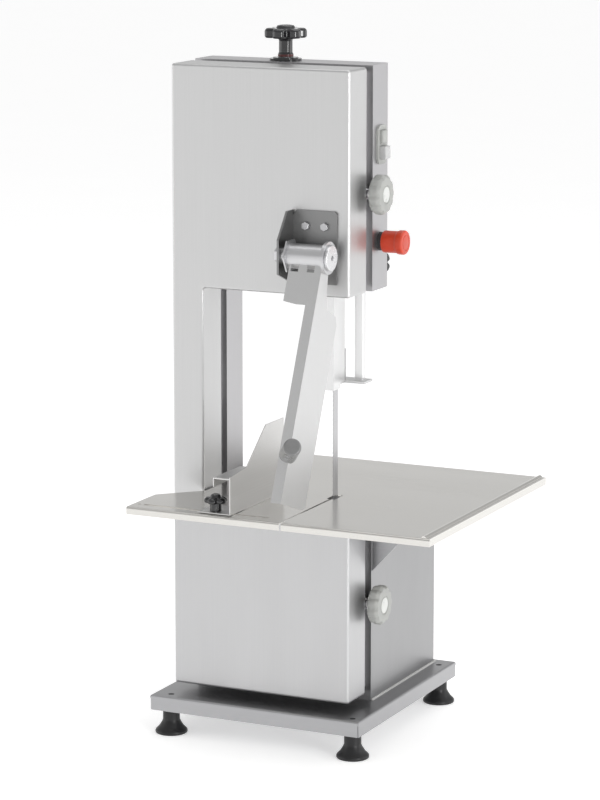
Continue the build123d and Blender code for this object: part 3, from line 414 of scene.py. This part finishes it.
# ---------------------------------------------------------------- feet
def feet():
    """Four moulded feet, each with the head of its stud above the tray."""
    low, high = low_high("rubber_feet")
    reach = 22.0                        # radius of a foot
    profile = rounded([(19.0, 0.0), (21.0, 0.0), (22.0, 1.2), (21.9, 4.2), (17.0, 9.0), (13.2, 15.0),
                       (11.6, 18.5), (11.4, 47.0), (10.0, 50.6), (0.2, 50.6)], 1.4)
    verts, faces = [], []
    for x in (low.x + reach * MM, high.x - reach * MM):
        for y in (low.y + reach * MM, high.y - reach * MM):
            v, f = rings_mesh(turned(profile, (x, y, low.z), (0, 0, 1), steps=80))
            faces += [tuple(i + len(verts) for i in face) for face in f]
            verts += v
            stud = turned([(3.9, 50.6), (3.9, 52.6), (3.2, 52.8)], (x, y, low.z), (0, 0, 1), steps=32)
            v, f = rings_mesh(stud)
            faces += [tuple(i + len(verts) for i in face) for face in f]
            verts += v
    build("moulded_feet", verts, faces, MATERIALS["foot_rubber"], "root", ("rubber_feet",), 50)


feet()


# ---------------------------------------------------------------- saw blade with its teeth
TOOTH_PITCH = 6.35                  # four teeth to the inch


def blade():
    """Closed band with about four hooked teeth to the inch along its front edge."""
    low, high = low_high("saw_blade")
    thick = 0.6 * MM
    outer = (high.x - low.x) / 2
    middle = outer - thick / 2
    cx = (low.x + high.x) / 2
    top, bottom = high.z - outer, low.z + outer
    straight = top - bottom
    arc = math.pi * middle
    length = 2 * (straight + arc)
    teeth = round(length / (TOOTH_PITCH * MM))
    pitch = length / teeth
    gullet = 2.6 * MM

    def place(s):
        s %= length
        if s < straight:
            return Vector((cx + middle, 0, top - s)), Vector((1, 0, 0))
        s -= straight
        if s < arc:
            a = s / middle
            return Vector((cx + middle * math.cos(a), 0, bottom - middle * math.sin(a))), \
                Vector((math.cos(a), 0, -math.sin(a)))
        s -= arc
        if s < straight:
            return Vector((cx - middle, 0, bottom + s)), Vector((-1, 0, 0))
        a = (s - straight) / middle
        return Vector((cx - middle * math.cos(a), 0, top + middle * math.sin(a))), \
            Vector((-math.cos(a), 0, math.sin(a)))

    shape = ((0.0, 0.0), (0.10, 0.75), (0.26, 1.0), (0.46, 0.86), (0.86, 0.16))
    loops = []
    for tooth in range(teeth):
        for along, deep in shape:
            p, normal = place((tooth + along) * pitch)
            front = low.y + gullet * deep
            half = normal * thick / 2
            loops.append([p + half + Vector((0, front, 0)), p - half + Vector((0, front, 0)),
                          p - half + Vector((0, high.y, 0)), p + half + Vector((0, high.y, 0))])
    verts = [v for loop in loops for v in loop]
    count = len(loops)
    faces = []
    for k in range(count):
        n = (k + 1) % count
        for i in range(4):
            j = (i + 1) % 4
            faces.append((k * 4 + i, k * 4 + j, n * 4 + j, n * 4 + i))
    build("toothed_blade", verts, faces, MATERIALS["blade_steel"], "root", ("saw_blade",), 30)


blade()


# ---------------------------------------------------------------- emergency stop
RIBS = 44
CAP_LENGTH = 30.9                   # from the skirt's edge to the face


def emergency_stop():
    """Red cap with a ribbed skirt over the collar and a flared, rounded rim."""
    low, high = low_high("estop_button")
    mid = centre("estop_button")
    start = high.x - CAP_LENGTH * MM

    def ribs(r, h, a):
        on_side = 1.0 if 3.0 < h < 20.0 and r > 14.0 else 0.0
        return r - 0.22 * on_side * (0.5 + 0.5 * math.cos(a * RIBS))

    cap = rounded([(8.1, 12.5), (12.9, 12.4), (12.9, 0.0), (14.5, 0.0), (14.75, 1.5), (14.75, 19.0),
                   (16.2, 22.0), (16.35, 28.6), (15.2, 30.6), (11.0, 30.75), (10.5, 30.1), (9.8, 30.1),
                   (9.3, 30.8), (0.2, 30.85)], 1.1)
    verts, faces = rings_mesh(turned(cap, (start, mid.y, mid.z), (1, 0, 0), ribs, 264))
    build("estop_mushroom", verts, faces, MATERIALS["red_plastic"], "estop_button",
          ("estop_button",), 38)
    neck = [(7.9, 0.0), (7.9, (start - low.x) / MM + 12.6)]
    verts, faces = rings_mesh(turned(neck, (low.x, mid.y, mid.z), (1, 0, 0)))
    build("estop_neck", verts, faces, MATERIALS["black_matte"], "estop_button")


emergency_stop()


# ---------------------------------------------------------------- sealant bead round the cabinet's foot
BEAD_STEPS = 6


def foot_seal():
    """Quarter-round sealant bead on the tray, along the cabinet's sides and back."""
    low, high = low_high("motor_cabinet")
    floor_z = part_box("base_tray")[1][2]
    radius = 2.2 * MM
    path = [Vector((high.x, low.y + 2 * MM, floor_z)), Vector((high.x, high.y, floor_z)),
            Vector((low.x, high.y, floor_z)), Vector((low.x, low.y + 2 * MM, floor_z))]
    outward = [Vector((1, 0, 0)), Vector((1, 1, 0)), Vector((-1, 1, 0)), Vector((-1, 0, 0))]
    loops = []
    for point, out in zip(path, outward):
        loop = []
        for k in range(BEAD_STEPS + 1):
            a = math.pi / 2 * k / BEAD_STEPS
            loop.append(point + out * radius * math.cos(a) + Vector((0, 0, radius * math.sin(a))))
        loop.append(point.copy())
        loops.append(loop)
    verts, faces = rings_mesh(loops)
    build("foot_seal", verts, faces, SEALANT, "root")


foot_seal()


# ---------------------------------------------------------------- studio
def area_light(name, place, target, width, height, power, colour=(1, 1, 1)):
    data = bpy.data.lights.new(name, "AREA")
    data.shape = "RECTANGLE"
    data.size, data.size_y = width, height
    data.energy = power
    data.color = colour
    light = bpy.data.objects.new(name, data)
    light.location = place
    light.rotation_euler = (Vector(target) - Vector(place)).to_track_quat("-Z", "Y").to_euler()
    bpy.context.scene.collection.objects.link(light)


def studio():
    scene = bpy.context.scene
    scene.view_settings.view_transform = "Standard"
    scene.view_settings.look = "None"
    world = bpy.data.worlds.new("studio")
    scene.world = world
    world.use_nodes = True
    tree = world.node_tree
    background = tree.nodes["Background"]
    place = tree.nodes.new("ShaderNodeTexCoord")
    split = tree.nodes.new("ShaderNodeSeparateXYZ")
    tree.links.new(place.outputs["Generated"], split.inputs["Vector"])
    ramp = tree.nodes.new("ShaderNodeValToRGB")
    stops = ramp.color_ramp.elements
    stops[0].position, stops[0].color = 0.50, (1.0, 1.0, 1.0, 1)
    stops[1].position, stops[1].color = 0.64, (0.50, 0.50, 0.50, 1)
    for position, grey in ((0.56, 1.0), (1.0, 0.62)):
        stop = stops.new(position)
        stop.color = (grey, grey, grey, 1)
    height = remap(tree, split.outputs["Z"], 0.0, 1.0, -1.0, 1.0)
    tree.links.new(height, ramp.inputs["Fac"])
    tree.links.new(ramp.outputs["Color"], background.inputs["Color"])
    background.inputs["Strength"].default_value = 1.02
    floor = bpy.data.meshes.new("floor")
    reach = 30
    floor.from_pydata([(-reach, -reach, 0), (reach, -reach, 0), (reach, reach, 0), (-reach, reach, 0)], [],
                      [(0, 1, 2, 3)])
    material, tree, shader = new_material("floor_white")
    paper = stretched_noise(tree, (3, 3, 3), 2.0)
    tree.links.new(tint(tree, paper, (0.90, 0.90, 0.90), (0.91, 0.91, 0.91)), shader.inputs["Base Color"])
    shader.inputs["Roughness"].default_value = 0.9
    shader.inputs["Emission Color"].default_value = (1, 1, 1, 1)
    shader.inputs["Emission Strength"].default_value = 0.42
    floor.materials.append(material)
    stage = bpy.data.objects.new("floor", floor)
    scene.collection.objects.link(stage)
    area_light("fill", (-3.0, -1.4, 0.8), (0, 0, 0.5), 2.0, 2.0, 10)
    area_light("edge", (3.0, -1.5, 0.7), (0, 0, 0.5), 0.35, 2.4, 45)
    area_light("side", (3.0, 1.6, 1.6), (0, 0, 0.6), 1.6, 2.4, 18)
    area_light("top", (0.2, 0.6, 3.4), (0, 0, 0.3), 3.0, 3.0, 30)


studio()
